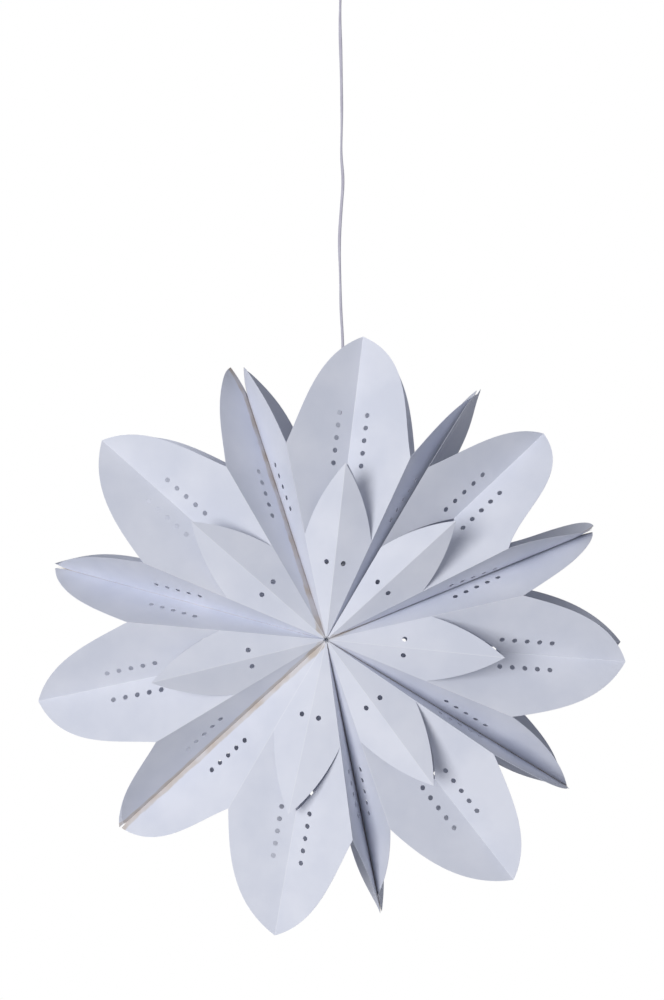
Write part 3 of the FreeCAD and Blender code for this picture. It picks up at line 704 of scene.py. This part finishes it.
# %% Cord
cord_route = np.array([
    (0.0, 0.0, -30.0), (-0.2, 0.3, -56.0), (-1.1, 0.5, -84.0), (-1.5, 0.1, -114.0), (-0.4, -0.5, -148.0),
    (0.6, -0.3, -192.0), (1.1, 0.5, -240.0), (-0.2, 0.8, -284.0), (3.1, -0.2, -316.0), (0.5, -0.6, -350.0),
    (-2.7, 0.1, -396.0), (-1.1, 0.7, -442.0), (-0.4, 0.3, -486.0), (2.4, -0.3, -526.0),
    (2.3, 0.2, -572.0), (1.0, 0.5, -622.0), (0.2, 0.2, -676.0), (-0.1, 0.05, -728.0),
    (0.05, -0.05, -766.0), (0.0, 0.0, -802.0),
]) * mm
core_radius = 1.4 * mm
core_side = 1.1 * mm       # each core's axis from the cord's middle


def spline_points(route, steps):
    """Points of a smooth NURBS curve with the route as its control points."""
    curve = bpy.data.curves.new("route", "CURVE")
    curve.dimensions = "3D"
    curve.resolution_u = steps
    spline = curve.splines.new("NURBS")
    spline.points.add(len(route) - 1)
    for point, place in zip(spline.points, route):
        point.co = (*place, 1.0)
    spline.order_u = 3
    spline.use_endpoint_u = True
    carrier = bpy.data.objects.new("route", curve)
    line = bpy.data.meshes.new_from_object(carrier)
    points = np.array([vertex.co[:] for vertex in line.vertices])
    bpy.data.objects.remove(carrier)
    return points if points[0, 2] > points[-1, 2] else points[::-1]


def cord_mesh(points):
    """Vertices and faces of the twin section, swept along nearly upright points."""
    turn = np.linspace(0.0, 2.0 * math.pi, 28, endpoint=False)
    side = core_side * np.cos(turn)
    reach = np.abs(side) + np.sqrt(core_radius ** 2 - (core_side * np.sin(turn)) ** 2)
    section = np.column_stack([reach * np.cos(turn), reach * np.sin(turn)])
    along = np.gradient(points, axis=0)
    along /= np.linalg.norm(along, axis=1)[:, None]
    right = np.array([1.0, 0.0, 0.0]) - along * along[:, :1]
    right /= np.linalg.norm(right, axis=1)[:, None]
    back = np.cross(along, right)
    drop = -points[:, 2]
    twist = np.radians(66.0 + 16.0 * np.sin(drop * 31.0) + 9.0 * np.sin(drop * 73.0 + 1.0))
    first = right * np.cos(twist)[:, None] + back * np.sin(twist)[:, None]
    second = back * np.cos(twist)[:, None] - right * np.sin(twist)[:, None]
    rings = points[:, None] + section[:, 0, None] * first[:, None] + section[:, 1, None] * second[:, None]
    count = len(section)
    ring, step = np.meshgrid(np.arange(len(points) - 1), np.arange(count), indexing="ij")
    beside = (step + 1) % count
    quads = np.stack([ring * count + step, ring * count + beside,
                      (ring + 1) * count + beside, (ring + 1) * count + step], axis=-1).reshape(-1, 4)
    return rings.reshape(-1, 3), quads


def cord_finish():
    """Soft PVC that has greyed a little, with faint scuffs along it."""
    made = Finish("cord_pvc")
    cloud = made.noise(40.0, 2.0)
    scuff = made.noise(700.0, 3.0)
    tone = made.mix(cloud.fade(0.6, 0.4), colour(196, 194, 208), colour(186, 183, 198))
    made.set(Base_Color=tone, Roughness=scuff * 0.2 + 0.38, Specular_IOR_Level=0.3)
    made.bump(scuff, 0.05 * mm, 0.4)
    return made


cord_points = spline_points(cord_route, 10)
places, faces = cord_mesh(cord_points)
flex = new_piece("twin_flex", places, faces, cord_finish(), "cord", ["cord"])
flex.data.shade_smooth()
print("cord:", len(cord_points), "points,", len(faces), "faces")

# %% [markdown]
# ## Plastics, metals, glass and glue
#
# Everything behind the paper keeps its CAD shape and gets a finish at the scale of the real one: moulded
# plastics have a fine eggshell texture, turned and stamped metals have rings or rolling lines, the steatite
# insert is glazed, and the glue is a yellow-brown film with bubbles.

# %% Finishes of the hard pieces
def moulded(name, light, shade, gloss, grain=1400.0):
    """Injection moulded plastic: eggshell texture, a slow change of tone, soft gloss."""
    made = Finish(name)
    grit = made.noise(grain, 2.0)
    cloud = made.noise(25.0, 2.0)
    made.set(Base_Color=made.mix(cloud.fade(0.65, 0.35), light, shade), Roughness=grit * 0.15 + gloss)
    made.bump(grit, 0.03 * mm, 0.5)
    return made


def metal(name, light, shade, rough, stretch):
    """Bare metal with fine lines across one axis and duller patches."""
    made = Finish(name)
    lines = made.node("ShaderNodeVectorMath", {"operation": "MULTIPLY"}, out="Vector")
    lines.socket.node.inputs[1].default_value = stretch
    made.feed(lines.socket.node.inputs[0], made.place())
    streak = made.noise(220.0, 3.0, lines)
    patch = made.noise(70.0, 2.0)
    made.set(Base_Color=made.mix(patch.fade(0.62, 0.4), light, shade), Metallic=1.0,
             Roughness=streak * 0.25 + patch * 0.12 + rough)
    made.bump(streak, 0.02 * mm, 0.5)
    return made


def painted(name, light, shade):
    """White powder coat with orange peel."""
    made = Finish(name)
    peel = made.noise(500.0, 1.5)
    cloud = made.noise(30.0, 2.0)
    made.set(Base_Color=made.mix(cloud.fade(0.65, 0.35), light, shade), Roughness=peel * 0.1 + 0.34)
    made.bump(peel, 0.05 * mm, 0.5)
    return made


def adhesive():
    """Dried paper glue: yellow-brown, patchy and half glossy."""
    made = Finish("adhesive")
    cloud = made.noise(90.0, 3.0)
    bubble = made.noise(600.0, 2.0)
    tone = made.mix(cloud.fade(0.6, 0.4), colour(201, 172, 128), colour(167, 134, 92))
    made.set(Base_Color=tone, Roughness=cloud * 0.3 + 0.3)
    made.bump(bubble, 0.05 * mm, 0.7)
    return made


def opal():
    """Opal glass: white through and through, under a clear gloss."""
    made = Finish("opal_glass")
    cloud = made.noise(20.0, 2.0)
    made.set(Base_Color=made.mix(cloud.fade(0.6, 0.4), colour(243, 243, 240), colour(236, 236, 231)),
             Roughness=cloud * 0.06 + 0.12, Coat_Weight=0.4)
    return made


def core_insulation():
    """One brown and one blue core, told apart by their side."""
    made = Finish("core_insulation")
    where = made.node("ShaderNodeSeparateXYZ", Vector=made.place())
    scuff = made.noise(300.0, 2.0)
    tone = made.mix((where * 4000.0 + 0.5).clamped(), colour(96, 58, 38), colour(52, 92, 168))
    made.set(Base_Color=tone, Roughness=scuff * 0.2 + 0.35)
    return made


white_plastic = moulded("canopy_plastic", colour(236, 236, 238), colour(230, 230, 233), 0.30)
holder_plastic = moulded("holder_plastic", colour(229, 228, 224), colour(222, 221, 216), 0.32)
nylon = moulded("clamp_plastic", colour(226, 225, 218), colour(217, 215, 207), 0.45, 900.0)
housing = moulded("bulb_housing", colour(240, 240, 240), colour(234, 234, 235), 0.25)
rivet_plastic = moulded("rivets", colour(228, 229, 236), colour(220, 221, 229), 0.30)
ceramic = moulded("ceramic_insert", colour(232, 226, 212), colour(222, 215, 200), 0.10, 500.0)
ceramic.set(Coat_Weight=0.5)
bar_paint = painted("bar_steel", colour(224, 224, 225), colour(215, 215, 217))
zinc = metal("zinc_steel", colour(190, 192, 190), colour(168, 170, 166), 0.22, (6.0, 6.0, 1.0))
brass = metal("contact_brass", colour(214, 180, 112), colour(188, 150, 84), 0.18, (1.0, 1.0, 8.0))
aluminium = metal("bulb_cap_metal", colour(214, 214, 214), colour(190, 190, 190), 0.2, (1.0, 1.0, 8.0))
solder = metal("solder", colour(176, 177, 178), colour(120, 121, 124), 0.3, (1.0, 1.0, 1.0))
dressing = [
    (white_plastic, ["canopy_cup"]),
    (holder_plastic, ["cord_grip", "holder_cap", "holder_shell", "shade_ring"]),
    (nylon, ["cord_clamp", "terminal_block", "grip_screw"]),
    (housing, ["bulb_collar"]),
    (rivet_plastic, ["closing_rivet_pins", "closing_rivet_caps"]),
    (ceramic, ["contact_insert"]),
    (bar_paint, ["carrier_bar", "ceiling_plate"]),
    (zinc, ["threaded_nipple", "nipple_nut", "contact_screws", "hanger_strap", "clamp_screw",
            "terminal_screws"]),
    (brass, ["thread_shell", "centre_contact", "side_contact"]),
    (aluminium, ["bulb_cap"]),
    (solder, ["bulb_tip"]),
    (adhesive(), ["glue_bands"]),
    (opal(), ["bulb_globe"]),
    (core_insulation(), ["core_wires"]),
]
for finish, names in dressing:
    for name in names:
        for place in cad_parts[name].material_slots:
            place.material = finish.material
print("dressed", sum(len(names) for finish, names in dressing), "CAD nodes")

# %% [markdown]
# ## Light and background
#
# The star hangs in front of pure white, with a pale floor far below it. That white is only what the camera
# and glossy rays see. The light itself is a dim, slightly cool sky all round and one broad source in
# front at the left, so that the folds' shadows keep soft edges. A second lamp at the right was tried and
# left out, because it lightened the petals' left halves more than the dark folds.

# %% World and sun
sky_level = 0.32
sky_colour = (0.90, 0.92, 0.99, 1.0)
# Name, level, how wide it looks in degrees, colour, and the way from the star towards it.
lights = [
    ("soft_key", 0.62, 30.0, (1.0, 0.995, 0.985), (-0.446, -0.895, 0.05)),
]


def make_world():
    """A dim sky that lights the star, and a white one that only the camera and glossy rays see."""
    world = bpy.data.worlds.new("studio")
    world.use_nodes = True
    tree = world.node_tree
    sky = tree.nodes["Background"]
    sky.inputs["Color"].default_value = sky_colour
    sky.inputs["Strength"].default_value = sky_level
    white = tree.nodes.new("ShaderNodeBackground")
    white.inputs["Color"].default_value = (1.0, 1.0, 1.0, 1.0)
    white.inputs["Strength"].default_value = 1.0
    path = tree.nodes.new("ShaderNodeLightPath")
    seen = Socket(tree, path.outputs["Is Camera Ray"])
    for name in ("Is Glossy Ray", "Is Transmission Ray"):
        seen = seen.math("MAXIMUM", Socket(tree, path.outputs[name]))
    both = tree.nodes.new("ShaderNodeMixShader")
    tree.links.new(seen.socket, both.inputs[0])
    tree.links.new(sky.outputs[0], both.inputs[1])
    tree.links.new(white.outputs[0], both.inputs[2])
    tree.links.new(both.outputs[0], tree.nodes["World Output"].inputs["Surface"])
    bpy.context.scene.world = world


make_world()
for name, level, spread, tint, toward in lights:
    sun_data = bpy.data.lights.new(name, "SUN")
    sun_data.energy = level * math.pi
    sun_data.angle = math.radians(spread)
    sun_data.color = tint
    sun = bpy.data.objects.new(name, sun_data)
    sun.rotation_euler = Vector(toward).to_track_quat("Z", "Y").to_euler()
    bpy.context.scene.collection.objects.link(sun)

view = bpy.context.scene.view_settings
view.view_transform = "Standard"

# %% Pale floor
floor_height = -2.4    # a common room height below the ceiling
floor_half = 4.0
floor_colour = (0.80, 0.80, 0.81, 1.0)
floor_glow = 0.95      # level that the camera sees, where 1 is white
floor_share = 0.75     # share of the floor's look that is this glow


def make_floor():
    """One flat square, pale to the camera, which still takes part of the star's shadow."""
    corners = [(-floor_half, -floor_half, floor_height), (floor_half, -floor_half, floor_height),
               (floor_half, floor_half, floor_height), (-floor_half, floor_half, floor_height)]
    mesh = bpy.data.meshes.new("floor")
    mesh.from_pydata(corners, [], [(0, 1, 2, 3)])
    made = bpy.data.materials.new("pale_floor")
    made.use_nodes = True
    tree = made.node_tree
    shader = tree.nodes["Principled BSDF"]
    shader.inputs["Base Color"].default_value = floor_colour
    shader.inputs["Roughness"].default_value = 0.9
    glow = tree.nodes.new("ShaderNodeEmission")
    glow.inputs["Strength"].default_value = floor_glow
    path = tree.nodes.new("ShaderNodeLightPath")
    seen = Socket(tree, path.outputs["Is Camera Ray"]) * floor_share
    both = tree.nodes.new("ShaderNodeMixShader")
    tree.links.new(seen.socket, both.inputs[0])
    tree.links.new(shader.outputs[0], both.inputs[1])
    tree.links.new(glow.outputs[0], both.inputs[2])
    tree.links.new(both.outputs[0], tree.nodes["Material Output"].inputs["Surface"])
    mesh.materials.append(made)
    floor = bpy.data.objects.new("floor", mesh)
    bpy.context.scene.collection.objects.link(floor)


make_floor()
